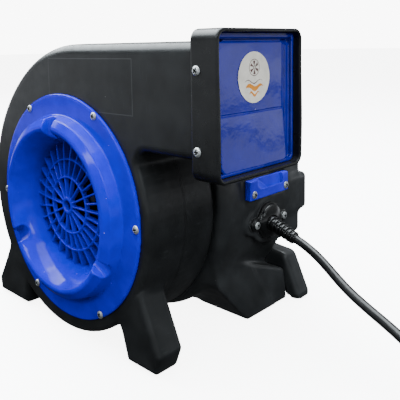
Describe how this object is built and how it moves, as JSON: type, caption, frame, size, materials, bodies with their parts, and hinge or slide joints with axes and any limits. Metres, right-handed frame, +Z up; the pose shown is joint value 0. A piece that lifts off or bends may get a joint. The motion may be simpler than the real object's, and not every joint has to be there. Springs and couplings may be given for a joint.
{
  "type": "centrifugal air mover",
  "caption": "Small centrifugal blower with a round guarded side intake, scroll housing on moulded feet, square outlet collar with a hinged flap valve, motor drum and power cord.",
  "frame": {"origin": "point where the fan axis meets the front face of the intake flange", "axes": "+Y along the fan axis into the machine, +X the way the air leaves, +Z up"},
  "size_m": [0.7163, 0.3105, 0.3654],
  "materials": {
    "black_plastic": "satin, faint moulding texture",
    "black_gloss": "semi-gloss",
    "blue_plastic": "gloss",
    "grey_nylon": "matte",
    "zinc_steel": "zinc plated",
    "bright_steel": "ground",
    "bearing_steel": "polished",
    "die_cast": "as cast",
    "painted_steel": "satin paint",
    "core_steel": "laminated",
    "copper_winding": "varnished",
    "capacitor_can": "matte",
    "brass_pins": "bright",
    "black_rubber": "satin",
    "label_film": "printed film"
  },
  "bodies": {
    "housing": {"bearing_outer_rings": "bearing_steel", "body_gasket": "black_rubber", "bolt_nuts": "zinc_steel", "bracket_screws": "zinc_steel", "capacitor": "capacitor_can", "capacitor_clip": "zinc_steel", "collar_screws": "zinc_steel", "cord_gland": "black_gloss", "cover_screws": "zinc_steel", "flap_frame": "blue_plastic", "flap_pin": "bright_steel", "foot_pads": "black_rubber", "front_end_shield": "die_cast", "gland_gasket": "black_rubber", "gland_screws": "zinc_steel", "intake_ring": "blue_plastic", "intake_screws": "zinc_steel", "motor_housing": "black_plastic", "motor_lead": "black_rubber", "motor_plate": "zinc_steel", "motor_shell": "painted_steel", "outlet_collar": "black_gloss", "plate_screws": "zinc_steel", "plug_body": "black_rubber", "plug_pins": "brass_pins", "power_cord": "black_rubber", "rear_cover": "black_plastic", "rear_end_shield": "die_cast", "rear_vent": "black_gloss", "scroll_housing": "black_plastic", "stator_core": "core_steel", "stator_windings": "copper_winding", "strain_relief": "black_rubber", "strap_bracket": "blue_plastic", "terminal_block": "capacitor_can", "terminal_rail": "zinc_steel", "through_bolts": "zinc_steel", "vent_screws": "zinc_steel"},
    "fan": {"impeller": "grey_nylon", "impeller_washer": "zinc_steel", "impeller_nut": "zinc_steel", "motor_shaft": "bright_steel", "rotor_core": "core_steel", "bearing_inner_rings": "bearing_steel", "bearing_balls": "bearing_steel", "cooling_fan": "grey_nylon"},
    "flap": {"outlet_flap": "blue_plastic", "flap_label": "label_film"}
  },
  "joints": [
    {"name": "fan_spin", "type": "hinge", "parent": "housing", "child": "fan", "pos_m": [0, 0, 0], "axis": [0, 1, 0], "continuous": true},
    {"name": "flap_hinge", "type": "hinge", "parent": "housing", "child": "flap", "pos_m": [0.2345, 0.068, 0.1982], "axis": [0, -1, 0], "range_deg": [0, 75]}
  ]
}
